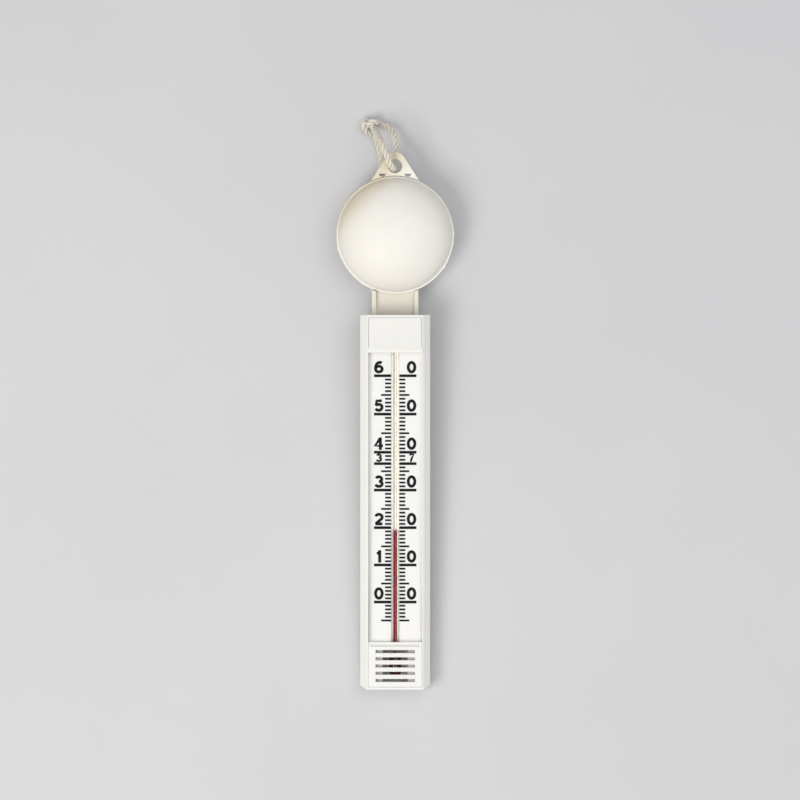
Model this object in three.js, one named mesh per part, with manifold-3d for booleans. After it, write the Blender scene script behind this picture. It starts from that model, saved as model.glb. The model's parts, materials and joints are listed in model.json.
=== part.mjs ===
// Floating pool thermometer, lying on its back, in millimetres, +Z up, +Y towards the ear.
//
// The float, neck, casing and thermometer are drawn flat in one group: x across, y along the length
// and z out of the front, with the origin at the middle of the float. That group is then tipped so
// that the float's back and the casing's lower back edge rest on the same surface, z = 0.
// The tether lies on that surface, so its pieces are drawn straight in the part's own frame.
import * as THREE from "three";
import { mergeVertices } from "three/addons/utils/BufferGeometryUtils.js";
import Module from "manifold-3d";

const wasm = await Module();
wasm.setup();

// Gap that separate pieces keep where they meet.
const GAP = 0.3;

// How far a cutting shape reaches past the piece it cuts, and how far joined shapes run together.
const CLEAR = 1;
const OVERLAP = 0.1;

// Float: two flattened half shells with a thin rim where they are welded.
const RIM_RADIUS = 28.8;
const RIM_HALF = 1.2;
const DOME_RADIUS = 27.9;
const DOME_DEPTH = 16;
const SHELL_WALL = 1.4;
const SHELL_SIDES = 40;
const ROUND_SIDES = 64;

// Ear: a rounded tongue on the rear shell, with the eyelet for the tether.
const EAR_BASE = [12.35, 25.8];
const EAR_SHOULDER = [4.45, 38.3];
const EAR_TIP = { y: 35.3, radius: 5.35 };
const EYELET = { y: 33.8, radius: 3.43 };
const EAR_SLOT = { x: 6.25, y: 30.1, halfWidth: 1.65, drop: 1.4 };
const EAR_DIMPLE = { y: 39.0, radius: 0.5, depth: 0.4 };
const EAR_ROOT = 0.5;

// Neck: a shallow channel between the float and the casing.
const NECK_HALF = 11.4;
const NECK_RAIL = 2;
const NECK_RAIL_FRONT = 2.6;
const NECK_TONGUE = 8;
const NECK_START = -20;

// Casing: outer outline, and how far its sides slope in towards the front.
const CASING_TOP = -39.2;
const CASING_BOTTOM = -222.7;
const CASING_HALF = 17.15;
const CASING_BACK = -1.2;
const CASING_FRONT = 12.8;
const BEVEL_START = 9.3;
const FRONT_HALF = 13.7;
const WINDOW_HALF = 13.2;
const SIDE_WALL = 1.85;
const END_WALL = 1.3;
const CORNER_CUT = [3, 2.3];
const BACK_WALL = 1.5;
const LIP_GAP = 0.4;

// Thermometer tube: stem, bulb and capillary, on an axis parallel to the casing's front.
const TUBE_Z = 8.4;
const STEM_RADIUS = 1.9;
const STEM_TOP = -51.8;
const BULB_RADIUS = 3;
const BULB_TOP = -207.4;
const BULB_END = -216.2;
const BORE_RADIUS = 0.62;
const BULB_WALL = 0.6;
const SPIRIT_RADIUS = 0.5;
const COLUMN_FOOT = -204.2;

// Scale: where the column stands, from the freezing mark up, for a reading in degrees Celsius.
const ZERO_MARK = -179.8;
const MM_PER_DEGREE = 1.808;
const MM_PER_DEGREE_SQUARED = 0.00065;
const REST_READING = 19.3;
const MENISCUS_LENGTH = 1.2;
const MENISCUS_DIP = 0.2;

// Scale plate, with a trough that the stem lies in.
const PLATE_HALF = 15;
const PLATE_FRONT = 9.4;
const PLATE_THICKNESS = 1.2;
const PLATE_TOP = -47;
const PLATE_BOTTOM = -219.1;
const TROUGH_RADIUS = 2.2;
const TROUGH_WALL = 1;
const BULB_SLOT = { half: 6.1, top: -201.5 };

// Covers over the tube's two ends.
const COVER_HALF = 12.9;
const COVER_WALL = 1.1;
const COVER_BACK = 9.7;
const HEAD_NOTCH = 2;
const GRILLE_NOTCH = 2;
const HEAD = { top: -40.8, bottom: -57.6 };
const GRILLE = { top: -199.4, bottom: -221.1 };
const GRILLE_SLOT = { first: -204, pitch: 3.53, count: 5, half: 9.6, height: 1.3 };
const GRILLE_GROOVE = { y: -201.1, half: 12, height: 0.6, depth: 0.4 };

// Rubber cup on the glass tip.
const CUSHION = { top: -49.6, floor: -51.4, bottom: -55.8, radius: 2.9, bore: 2.2 };

// Ribs inside the back cover.
const RIB = { inner: 13.8, outer: 15, height: 7.9, top: -60, bottom: -218 };
const CROSS_RIB = { height: 4.9, thickness: 1.2, places: [-53, -100, -150, -195, -210.5] };

// Tether: a soft cord, twice through a knot, with its spare length in a hank.
const CORD_DIAMETER = 3.2;
const CORD_SIDES = 8;
const LOOP_STEPS = 34;
const TAIL_STEPS = 30;
const END_STEPS = 8;
const KNOT = { at: [-12.6, 145.6, 3.4], size: [3.9, 3.5, 3.1] };
const END_KNOT = { at: [-1.4, 39.0, 3.2], size: [3.2, 3.2, 3.1] };
const HANK = { y: 24.1, run: 23.2, outer: 14.4, inner: 8, bottom: 0.9, top: 6.6 };
const TIE = { half: 2.5, gap: 0.35, wall: 0.55 };

// From the knot over the ear, back through the eyelet and under the ear to the knot.
const LOOP_ROUTE = [
  [-10.5, 143.5, 7.2],
  [-9.7, 142.3, 10.8],
  [-8.8, 140.7, 14.9],
  [-7.9, 138.8, 19.1],
  [-7.0, 136.9, 22.9],
  [-6.0, 134.3, 25.4],
  [-4.8, 131.0, 26.4],
  [-3.5, 127.7, 25.5],
  [-2.2, 125.1, 23.0],
  [-1.1, 124.0, 19.6],
  [-0.6, 123.9, 16.4],
  [-0.3, 125.1, 13.3],
  [0.1, 127.5, 11.0],
  [0.3, 130.8, 9.6],
  [0.4, 134.3, 8.6],
  [0.1, 137.8, 7.6],
  [-0.5, 140.8, 6.3],
  [-1.7, 143.4, 5.0],
  [-4.0, 145.6, 3.8],
  [-7.8, 147.0, 3.0],
];

// From the knot along the surface, under the ear and round the float's foot to the hank.
const TAIL_ROUTE = [
  [-10.5, 142.4, 1.75],
  [-9.2, 139.0, 1.65],
  [-7.9, 135.0, 1.65],
  [-7.0, 130.6, 1.65],
  [-7.2, 126.2, 1.65],
  [-9.0, 121.6, 1.65],
  [-12.2, 116.6, 1.65],
  [-16.0, 111.0, 1.65],
  [-19.2, 104.6, 1.65],
  [-20.8, 97.4, 1.65],
  [-20.6, 89.8, 1.65],
  [-18.8, 82.0, 1.65],
  [-15.6, 74.8, 1.65],
  [-12.0, 68.4, 1.65],
  [-9.7, 62.6, 1.65],
  [-9.2, 57.6, 1.65],
  [-9.8, 52.6, 1.65],
  [-11.0, 48.6, 1.65],
  [-11.9, 45.9, 1.65],
];

// The last stretch, from the hank's inner turn to the knot on the free end.
const END_ROUTE = [
  [6.0, 27.6, 1.65],
  [5.0, 30.9, 1.65],
  [3.2, 33.6, 1.75],
  [0.9, 36.0, 2.1],
];

const WHITE = { color: 0xf0ede6, roughness: 0.45, metalness: 0 };
const CASE_WHITE = { color: 0xf3f2ef, roughness: 0.4, metalness: 0 };
const PLATE_WHITE = { color: 0xf4f2ee, roughness: 0.5, metalness: 0 };
const NECK_IVORY = { color: 0xe6e0d4, roughness: 0.5, metalness: 0 };
const GLASS = { color: 0xe4e2dc, roughness: 0.05, metalness: 0, transparent: true, opacity: 0.4 };
const SPIRIT = { color: 0x8c1f24, roughness: 0.2, metalness: 0 };
const RUBBER = { color: 0xc9c6bf, roughness: 0.9, metalness: 0 };
const CORD = { color: 0xe6dcc8, roughness: 0.95, metalness: 0 };
const BAND = { color: 0xcbb389, roughness: 0.8, metalness: 0 };

// ---------------------------------------------------------------- helpers

// One closed mesh with shared corners and no collapsed triangles, its faces pointing out.
function weld(geometry) {
  const bare = geometry.clone();
  bare.deleteAttribute("normal");
  bare.deleteAttribute("uv");
  const merged = mergeVertices(bare, 1e-4);
  const corners = merged.index.array;
  const kept = [];
  for (let i = 0; i < corners.length; i += 3) {
    const [a, b, c] = corners.subarray(i, i + 3);
    if (a !== b && b !== c && c !== a) kept.push(a, b, c);
  }
  merged.setIndex(kept);
  if (signedVolume(merged) < 0) merged.setIndex(kept.reverse());
  return merged;
}

function signedVolume(geometry) {
  const position = geometry.attributes.position;
  const index = geometry.index.array;
  const [a, b, c] = [new THREE.Vector3(), new THREE.Vector3(), new THREE.Vector3()];
  let total = 0;
  for (let i = 0; i < index.length; i += 3) {
    a.fromBufferAttribute(position, index[i]);
    b.fromBufferAttribute(position, index[i + 1]);
    c.fromBufferAttribute(position, index[i + 2]);
    total += a.dot(b.cross(c)) / 6;
  }
  return total;
}

function solid(geometry) {
  const welded = weld(geometry);
  const mesh = new wasm.Mesh({
    numProp: 3,
    vertProperties: new Float32Array(welded.attributes.position.array),
    triVerts: new Uint32Array(welded.index.array),
  });
  return new wasm.Manifold(mesh);
}

function fromSolid(manifold) {
  const mesh = manifold.getMesh();
  const geometry = new THREE.BufferGeometry();
  geometry.setAttribute("position", new THREE.BufferAttribute(mesh.vertProperties, 3));
  geometry.setIndex(new THREE.BufferAttribute(mesh.triVerts, 1));
  return geometry;
}

function join(...solids) {
  return solids.reduce((whole, next) => whole.add(next));
}

function cut(whole, ...solids) {
  return solids.reduce((rest, next) => rest.subtract(next), whole);
}

function box([x0, x1], [y0, y1], [z0, z1]) {
  const geometry = new THREE.BoxGeometry(x1 - x0, y1 - y0, z1 - z0);
  geometry.translate((x0 + x1) / 2, (y0 + y1) / 2, (z0 + z1) / 2);
  return solid(geometry);
}

function outline(points) {
  return new THREE.Shape(points.map(([x, y]) => new THREE.Vector2(x, y)));
}

// An outline in the front plane, given thickness from z0 to z1.
function slab(points, [z0, z1]) {
  const geometry = new THREE.ExtrudeGeometry(outline(points), { depth: z1 - z0, bevelEnabled: false });
  geometry.translate(0, 0, z0);
  return solid(geometry);
}

// A cross-section in x and z, drawn along the length from y0 down to y1.
function bar(points, [y0, y1]) {
  const geometry = new THREE.ExtrudeGeometry(outline(points), { depth: y0 - y1, bevelEnabled: false });
  geometry.rotateX(Math.PI / 2);
  geometry.translate(0, y0, 0);
  return solid(geometry);
}

// A round hole or stud through the front plane.
function disc(x, y, radius, [z0, z1], sides = 24) {
  const geometry = new THREE.CylinderGeometry(radius, radius, z1 - z0, sides);
  geometry.rotateX(Math.PI / 2);
  geometry.translate(x, y, (z0 + z1) / 2);
  return solid(geometry);
}

// A round bar along the tube's axis.
function rod(radius, [y0, y1], sides = 20) {
  const geometry = new THREE.CylinderGeometry(radius, radius, y0 - y1, sides);
  geometry.translate(0, (y0 + y1) / 2, TUBE_Z);
  return solid(geometry);
}

// A profile, as radius and place along the length, turned about the tube's axis.
function turnedOnTube(profile, sides = 16) {
  const points = profile.map(([radius, y]) => new THREE.Vector2(radius, y));
  const geometry = new THREE.LatheGeometry(points, sides);
  geometry.translate(0, 0, TUBE_Z);
  return weld(geometry);
}

function arc(cx, cy, radius, from, to, steps) {
  const points = [];
  for (let i = 0; i <= steps; i++) {
    const angle = from + ((to - from) * i) / steps;
    points.push([cx + radius * Math.cos(angle), cy + radius * Math.sin(angle)]);
  }
  return points;
}

function node(name, geometry, look) {
  const mesh = new THREE.Mesh(geometry, new THREE.MeshStandardMaterial(look));
  mesh.geometry.computeVertexNormals();
  mesh.name = name;
  return mesh;
}

// ---------------------------------------------------------------- float

// Quarter of an ellipse from the rim's level to the pole, as radius and depth.
function domeCurve(radius, depth, fromZ, steps) {
  const start = Math.asin(fromZ / depth);
  const points = [];
  for (let i = 0; i <= steps; i++) {
    const angle = start + ((Math.PI / 2 - start) * i) / steps;
    points.push([i === steps ? 0 : radius * Math.cos(angle), depth * Math.sin(angle)]);
  }
  return points;
}

// Half of the float with its welding rim, opening towards z = 0 and bulging towards +z.
function halfShell() {
  const face = GAP / 2;
  const outer = domeCurve(DOME_RADIUS, DOME_DEPTH, RIM_HALF, 9);
  const inner = domeCurve(DOME_RADIUS - SHELL_WALL, DOME_DEPTH - SHELL_WALL, face, 7);
  const rim = [[RIM_RADIUS, RIM_HALF], [RIM_RADIUS, face]];
  const profile = [...outer.reverse(), ...rim, ...inner];
  const points = profile.map(([radius, z]) => new THREE.Vector2(radius, z));
  const geometry = new THREE.LatheGeometry(points, SHELL_SIDES);
  geometry.rotateX(Math.PI / 2);
  return solid(geometry);
}

function floatFrontShell() {
  return fromSolid(halfShell());
}

function earOutline() {
  const rise = Math.asin((EAR_SHOULDER[1] - EAR_TIP.y) / EAR_TIP.radius);
  const tip = arc(0, EAR_TIP.y, EAR_TIP.radius, rise, Math.PI - rise, 10);
  return [[-EAR_BASE[0], EAR_BASE[1]], [EAR_BASE[0], EAR_BASE[1]], ...tip];
}

// The D-shaped slot has a flat upper edge and a bowed lower one.
function earSlot(x) {
  const bow = arc(0, 0, 1, Math.PI, 2 * Math.PI, 6);
  const points = bow.map(([u, v]) => [x + u * EAR_SLOT.halfWidth, EAR_SLOT.y + v * EAR_SLOT.drop]);
  return slab(points, [-RIM_HALF - CLEAR, RIM_HALF + CLEAR]);
}

function ear() {
  const blank = slab(earOutline(), [-RIM_HALF, RIM_HALF]);
  const through = [-RIM_HALF - CLEAR, RIM_HALF + CLEAR];
  const frontRimRoom = disc(0, 0, RIM_RADIUS + GAP, [-GAP / 2, RIM_HALF + CLEAR], ROUND_SIDES);
  const eyelet = disc(0, EYELET.y, EYELET.radius, through);
  const dimpled = [RIM_HALF - EAR_DIMPLE.depth, RIM_HALF + CLEAR];
  const dimple = disc(0, EAR_DIMPLE.y, EAR_DIMPLE.radius, dimpled, 8);
  const inside = disc(0, 0, DOME_RADIUS - EAR_ROOT, through, ROUND_SIDES);
  return cut(blank, frontRimRoom, inside, eyelet, dimple, earSlot(EAR_SLOT.x), earSlot(-EAR_SLOT.x));
}

function floatRearShell() {
  const shell = halfShell().mirror([0, 0, 1]);
  const rimDepth = [-RIM_HALF - CLEAR, 0];
  const rimNotch = box([-NECK_HALF - GAP, NECK_HALF + GAP], [-RIM_RADIUS - CLEAR, 0], rimDepth);
  const keptWall = disc(0, 0, DOME_RADIUS + OVERLAP, rimDepth, ROUND_SIDES);
  return fromSolid(join(cut(shell, cut(rimNotch, keptWall)), ear()));
}

// ---------------------------------------------------------------- neck

function neckChannel() {
  const inside = NECK_HALF - NECK_RAIL;
  const back = -RIM_HALF;
  const web = -GAP / 2;
  const section = [
    [-NECK_HALF, back],
    [NECK_HALF, back],
    [NECK_HALF, NECK_RAIL_FRONT],
    [inside, NECK_RAIL_FRONT],
    [inside, web],
    [-inside, web],
    [-inside, NECK_RAIL_FRONT],
    [-NECK_HALF, NECK_RAIL_FRONT],
  ];
  const blank = bar(section, [NECK_START, CASING_TOP - NECK_TONGUE]);
  const step = web + 0.01;
  const wallRoom = disc(0, 0, DOME_RADIUS + OVERLAP + GAP, [back - CLEAR, step], ROUND_SIDES);
  const rimRoom = disc(0, 0, RIM_RADIUS + GAP, [step, NECK_RAIL_FRONT + CLEAR], ROUND_SIDES);
  return fromSolid(cut(blank, wallRoom, rimRoom));
}

// ---------------------------------------------------------------- casing

// The casing seen from the front: square at the top, with cut corners at the bottom.
function casingOutline() {
  const [cutX, cutY] = CORNER_CUT;
  return [
    [-CASING_HALF, CASING_TOP],
    [-CASING_HALF, CASING_BOTTOM + cutY],
    [-CASING_HALF + cutX, CASING_BOTTOM],
    [CASING_HALF - cutX, CASING_BOTTOM],
    [CASING_HALF, CASING_BOTTOM + cutY],
    [CASING_HALF, CASING_TOP],
  ];
}

// Side wall of the casing: upright, then sloping in, with a lip that keeps the scale plate in.
function sideWallSection(side) {
  const inner = CASING_HALF - SIDE_WALL;
  const back = CASING_BACK + BACK_WALL + GAP;
  const lip = PLATE_FRONT + LIP_GAP;
  const right = [
    [CASING_HALF, back],
    [CASING_HALF, BEVEL_START],
    [FRONT_HALF, CASING_FRONT],
    [WINDOW_HALF, CASING_FRONT],
    [WINDOW_HALF, lip],
    [inner, lip],
    [inner, back],
  ];
  return right.map(([x, z]) => [side * x, z]);
}

function casingFront() {
  const back = CASING_BACK + BACK_WALL + GAP;
  const length = [CASING_TOP, CASING_BOTTOM];
  const sides = [1, -1].map((side) => bar(sideWallSection(side), length));
  const endSection = [
    [-CASING_HALF, back],
    [CASING_HALF, back],
    [CASING_HALF, BEVEL_START],
    [FRONT_HALF, CASING_FRONT],
    [-FRONT_HALF, CASING_FRONT],
    [-CASING_HALF, BEVEL_START],
  ];
  const topWall = bar(endSection, [CASING_TOP, CASING_TOP - END_WALL]);
  const bottomWall = bar(endSection, [CASING_BOTTOM + END_WALL, CASING_BOTTOM]);
  const [cutX, cutY] = CORNER_CUT;
  const cornerFill = [1, -1].map((side) => slab([
    [side * (CASING_HALF - SIDE_WALL), CASING_BOTTOM],
    [side * CASING_HALF, CASING_BOTTOM],
    [side * CASING_HALF, CASING_BOTTOM + cutY + CLEAR],
    [side * (CASING_HALF - SIDE_WALL), CASING_BOTTOM + cutY + CLEAR],
    [side * (CASING_HALF - cutX - SIDE_WALL), CASING_BOTTOM + END_WALL],
  ], [back, BEVEL_START]));
  const neckRoom = box(
    [-NECK_HALF - GAP, NECK_HALF + GAP],
    [CASING_TOP - END_WALL - CLEAR, CASING_TOP + CLEAR],
    [back - CLEAR, NECK_RAIL_FRONT + GAP],
  );
  const frame = cut(join(...sides, topWall, bottomWall, ...cornerFill), neckRoom);
  return fromSolid(frame.intersect(slab(casingOutline(), [back - CLEAR, CASING_FRONT + CLEAR])));
}

function casingBack() {
  const floor = CASING_BACK + BACK_WALL;
  const plate = slab(casingOutline(), [CASING_BACK, floor]);
  const neckRoom = box(
    [-NECK_HALF - GAP, NECK_HALF + GAP],
    [CASING_TOP - NECK_TONGUE - GAP, CASING_TOP + CLEAR],
    [CASING_BACK - CLEAR, floor + CLEAR],
  );
  const longRibs = [1, -1].map((side) => {
    const [x0, x1] = side > 0 ? [RIB.inner, RIB.outer] : [-RIB.outer, -RIB.inner];
    return box([x0, x1], [RIB.bottom, RIB.top], [floor - OVERLAP, RIB.height]);
  });
  const crossRibs = CROSS_RIB.places.map((y) => box(
    [-RIB.inner - OVERLAP, RIB.inner + OVERLAP],
    [y - CROSS_RIB.thickness / 2, y + CROSS_RIB.thickness / 2],
    [floor - OVERLAP, CROSS_RIB.height],
  ));
  return fromSolid(join(cut(plate, neckRoom), ...longRibs, ...crossRibs));
}

// A cover: a flat face with a skirt round it, open at the back, and a notch for the tube.
function cover(place) {
  const face = CASING_FRONT - COVER_WALL;
  const block = box([-COVER_HALF, COVER_HALF], [place.bottom, place.top], [COVER_BACK, CASING_FRONT]);
  const hollow = box(
    [-COVER_HALF + COVER_WALL, COVER_HALF - COVER_WALL],
    [place.bottom + COVER_WALL, place.top - COVER_WALL],
    [COVER_BACK - CLEAR, face],
  );
  return cut(block, hollow);
}

function headPanel() {
  const tubeRoom = rod(TROUGH_RADIUS, [HEAD.bottom + HEAD_NOTCH, HEAD.bottom - CLEAR]);
  return fromSolid(cut(cover(HEAD), tubeRoom));
}

function bulbGrille() {
  const tubeRoom = rod(TROUGH_RADIUS, [GRILLE.top + CLEAR, GRILLE.top - GRILLE_NOTCH]);
  const slots = [];
  for (let i = 0; i < GRILLE_SLOT.count; i++) {
    const middle = GRILLE_SLOT.first - i * GRILLE_SLOT.pitch;
    slots.push(box(
      [-GRILLE_SLOT.half, GRILLE_SLOT.half],
      [middle - GRILLE_SLOT.height / 2, middle + GRILLE_SLOT.height / 2],
      [COVER_BACK, CASING_FRONT + CLEAR],
    ));
  }
  const groove = box(
    [-GRILLE_GROOVE.half, GRILLE_GROOVE.half],
    [GRILLE_GROOVE.y - GRILLE_GROOVE.height / 2, GRILLE_GROOVE.y + GRILLE_GROOVE.height / 2],
    [CASING_FRONT - GRILLE_GROOVE.depth, CASING_FRONT + CLEAR],
  );
  return fromSolid(cut(cover(GRILLE), tubeRoom, groove, ...slots));
}

// ---------------------------------------------------------------- thermometer

function scalePlate() {
  const back = PLATE_FRONT - PLATE_THICKNESS;
  const outerRadius = TROUGH_RADIUS + TROUGH_WALL;
  const innerStart = Math.asin((PLATE_FRONT - TUBE_Z) / TROUGH_RADIUS);
  const outerStart = Math.asin((back - TUBE_Z) / outerRadius);
  const inner = arc(0, TUBE_Z, TROUGH_RADIUS, Math.PI - innerStart, 2 * Math.PI + innerStart, 10);
  const outer = arc(0, TUBE_Z, outerRadius, 2 * Math.PI + outerStart, Math.PI - outerStart, 10);
  const section = [
    [-PLATE_HALF, PLATE_FRONT],
    ...inner,
    [PLATE_HALF, PLATE_FRONT],
    [PLATE_HALF, back],
    ...outer,
    [-PLATE_HALF, back],
  ];
  const depth = [0, CASING_FRONT];
  const cushionSlot = box(
    [-CUSHION.radius - GAP, CUSHION.radius + GAP],
    [CUSHION.bottom - GAP, PLATE_TOP + CLEAR],
    depth,
  );
  const bulbSlot = box([-BULB_SLOT.half, BULB_SLOT.half], [PLATE_BOTTOM - CLEAR, BULB_SLOT.top], depth);
  return fromSolid(cut(bar(section, [PLATE_TOP, PLATE_BOTTOM]), cushionSlot, bulbSlot));
}

// The outside from the bulb's round end up to the stem's end, then the bore back down.
function glassTube() {
  const innerBulb = BULB_RADIUS - BULB_WALL;
  return turnedOnTube([
    [0, BULB_END],
    [1.6, BULB_END + 0.5],
    [2.6, BULB_END + 1.6],
    [BULB_RADIUS, BULB_END + 3],
    [BULB_RADIUS, BULB_TOP],
    [2.6, BULB_TOP + 1.6],
    [STEM_RADIUS, BULB_TOP + 3],
    [STEM_RADIUS, STEM_TOP - 0.6],
    [STEM_RADIUS - 0.5, STEM_TOP],
    [BORE_RADIUS, STEM_TOP],
    [BORE_RADIUS, BULB_TOP + 2.6],
    [innerBulb, BULB_TOP - 0.4],
    [innerBulb, BULB_END + 3.2],
    [1.4, BULB_END + 1.2],
    [0, BULB_END + 0.8],
  ]);
}

function bulbSpirit() {
  return turnedOnTube([
    [0, BULB_END + 1.2],
    [1.2, BULB_END + 1.7],
    [2.1, BULB_END + 3.5],
    [2.1, BULB_TOP - 0.8],
    [SPIRIT_RADIUS, BULB_TOP + 1.9],
    [SPIRIT_RADIUS, COLUMN_FOOT - GAP],
    [0, COLUMN_FOOT - GAP],
  ], 12);
}

// Distance from the float's middle to the column's top at a reading in degrees Celsius.
function columnTop(reading) {
  return ZERO_MARK + MM_PER_DEGREE * reading + MM_PER_DEGREE_SQUARED * reading ** 2;
}

function spiritColumn() {
  const top = columnTop(REST_READING) - MENISCUS_LENGTH - GAP;
  return turnedOnTube([
    [0, COLUMN_FOOT],
    [SPIRIT_RADIUS, COLUMN_FOOT],
    [SPIRIT_RADIUS, top],
    [0, top],
  ], 8);
}

function spiritMeniscus() {
  const top = columnTop(REST_READING);
  return turnedOnTube([
    [0, top - MENISCUS_LENGTH],
    [SPIRIT_RADIUS, top - MENISCUS_LENGTH],
    [SPIRIT_RADIUS, top],
    [0, top - MENISCUS_DIP],
  ], 8);
}

function tubeCushion() {
  return turnedOnTube([
    [0, CUSHION.floor],
    [CUSHION.bore, CUSHION.floor],
    [CUSHION.bore, CUSHION.bottom],
    [CUSHION.radius, CUSHION.bottom],
    [CUSHION.radius, CUSHION.top],
    [0, CUSHION.top],
  ]);
}

// ---------------------------------------------------------------- tether

function cordAlong(route, steps) {
  const points = route.map((point) => new THREE.Vector3(...point));
  const curve = new THREE.CatmullRomCurve3(points, false, "centripetal");
  const section = outline(arc(0, 0, CORD_DIAMETER / 2, 0, 2 * Math.PI, CORD_SIDES).slice(0, -1));
  return weld(new THREE.ExtrudeGeometry(section, { steps, extrudePath: curve }));
}

function knot({ at, size }) {
  const geometry = new THREE.SphereGeometry(1, 10, 8);
  geometry.scale(...size);
  geometry.translate(...at);
  return weld(geometry);
}

// An outline with two straight sides and two round ends, pointing along the length.
function racetrack(half, run, steps) {
  return [
    ...arc(0, run / 2, half, 0, Math.PI, steps),
    ...arc(0, -run / 2, half, Math.PI, 2 * Math.PI, steps),
  ];
}

function tetherHank() {
  const height = [HANK.bottom, HANK.top];
  const outer = slab(racetrack(HANK.outer, HANK.run, 10), height);
  const hole = slab(racetrack(HANK.inner, HANK.run, 8), [HANK.bottom - CLEAR, HANK.top + CLEAR]);
  return fromSolid(cut(outer, hole).translate([0, HANK.y, 0]));
}

// A flat band round the whole hank at its waist.
function hankTie() {
  const inside = HANK.outer + TIE.gap;
  const outside = inside + TIE.wall;
  const [low, high] = [HANK.bottom - TIE.gap, HANK.top + TIE.gap];
  const length = [HANK.y - TIE.half, HANK.y + TIE.half];
  const band = box([-outside, outside], length, [low - TIE.wall, high + TIE.wall]);
  const room = box([-inside, inside], [length[0] - CLEAR, length[1] + CLEAR], [low, high]);
  return fromSolid(cut(band, room));
}

// ---------------------------------------------------------------- assembly

// The tilt at which the float's back and the casing's lower back edge touch one surface.
function restTilt() {
  const passes = 8;
  let tilt = 0;
  for (let pass = 0; pass < passes; pass++) {
    const floatReach = Math.hypot(DOME_RADIUS * Math.sin(tilt), DOME_DEPTH * Math.cos(tilt));
    tilt = Math.asin((floatReach + CASING_BACK * Math.cos(tilt)) / -CASING_BOTTOM);
  }
  return tilt;
}

function instrument() {
  const group = new THREE.Group();
  group.add(
    node("float_front_shell", floatFrontShell(), WHITE),
    node("float_rear_shell", floatRearShell(), WHITE),
    node("neck_channel", neckChannel(), NECK_IVORY),
    node("casing_front", casingFront(), CASE_WHITE),
    node("casing_back", casingBack(), CASE_WHITE),
    node("head_panel", headPanel(), CASE_WHITE),
    node("bulb_grille", bulbGrille(), CASE_WHITE),
    node("scale_plate", scalePlate(), PLATE_WHITE),
    node("glass_tube", glassTube(), GLASS),
    node("bulb_spirit", bulbSpirit(), SPIRIT),
    node("spirit_column", spiritColumn(), SPIRIT),
    node("spirit_meniscus", spiritMeniscus(), SPIRIT),
    node("tube_cushion", tubeCushion(), RUBBER),
  );
  group.rotation.x = restTilt();
  group.updateMatrixWorld(true);
  const bounds = new THREE.Box3().setFromObject(group, true);
  const middle = bounds.getCenter(new THREE.Vector3());
  group.position.set(0, -middle.y, -bounds.min.z);
  return group;
}

function tether() {
  const group = new THREE.Group();
  group.add(
    node("tether_loop", cordAlong(LOOP_ROUTE, LOOP_STEPS), CORD),
    node("tether_knot", knot(KNOT), CORD),
    node("tether_tail", cordAlong(TAIL_ROUTE, TAIL_STEPS), CORD),
    node("tether_hank", tetherHank(), CORD),
    node("hank_tie", hankTie(), BAND),
    node("tether_end", cordAlong(END_ROUTE, END_STEPS), CORD),
    node("tether_end_knot", knot(END_KNOT), CORD),
  );
  return group;
}

const thermometer = new THREE.Group();
thermometer.add(instrument(), tether());

export default thermometer;
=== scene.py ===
"""Looks of the floating pool thermometer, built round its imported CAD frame.

The instrument's pieces are drawn in its own millimetres: x across, y along the length towards the ear, z
out of the front, from the middle of the float. TO_ROW places them in the frame. The tether lies on the
surface under the thermometer, so its lines are drawn in the frame itself, in metres.
"""
import json
import math

import bmesh
import bpy
import numpy as np
from mathutils import Matrix, Vector


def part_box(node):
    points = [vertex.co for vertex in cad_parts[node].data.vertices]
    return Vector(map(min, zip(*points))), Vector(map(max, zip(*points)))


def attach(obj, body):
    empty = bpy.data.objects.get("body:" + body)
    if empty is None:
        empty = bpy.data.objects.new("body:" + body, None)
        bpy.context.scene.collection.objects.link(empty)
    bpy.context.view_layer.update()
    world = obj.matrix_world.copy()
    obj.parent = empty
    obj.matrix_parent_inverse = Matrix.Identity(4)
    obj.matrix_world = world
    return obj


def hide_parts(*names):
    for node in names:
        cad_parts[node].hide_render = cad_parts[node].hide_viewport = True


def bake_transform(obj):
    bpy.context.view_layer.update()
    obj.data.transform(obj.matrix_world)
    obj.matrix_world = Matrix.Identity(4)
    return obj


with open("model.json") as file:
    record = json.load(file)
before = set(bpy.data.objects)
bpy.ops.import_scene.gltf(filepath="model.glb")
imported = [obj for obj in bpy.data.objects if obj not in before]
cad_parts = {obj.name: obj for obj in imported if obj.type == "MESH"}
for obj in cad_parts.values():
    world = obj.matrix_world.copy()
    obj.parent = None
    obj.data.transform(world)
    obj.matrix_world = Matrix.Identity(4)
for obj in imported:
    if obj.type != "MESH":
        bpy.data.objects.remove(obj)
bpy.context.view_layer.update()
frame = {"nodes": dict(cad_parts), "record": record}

MM = 0.001
GAP = 0.3
SCENE = bpy.context.scene

# ---- the instrument's own axes

LYING_FACE = next(m for m in frame["record"]["mounts"] if m["name"] == "case_back_face")
RIGHT = Vector((1, 0, 0))
FRONT = -Vector(LYING_FACE["axis"]).normalized()
ALONG = Vector((0, FRONT.z, -FRONT.y))


def turned_box(node):
    """Lowest and highest corner of a CAD node along the instrument's axes, in millimetres."""
    points = np.array([v.co for v in frame["nodes"][node].data.vertices])
    turned = points @ np.array([RIGHT, ALONG, FRONT]).T / MM
    return turned.min(0), turned.max(0)


# The float's middle, on its welded face, which is half a gap behind the front shell.
FLOAT_LOW, FLOAT_HIGH = turned_box("float_front_shell")
MIDDLE = np.array([*(FLOAT_LOW + FLOAT_HIGH)[:2] / 2, FLOAT_LOW[2] - GAP / 2])
TURN = Matrix((RIGHT, ALONG, FRONT)).transposed().to_4x4()
TO_ROW = TURN @ Matrix.Scale(MM, 4) @ Matrix.Translation(Vector(MIDDLE))


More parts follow.
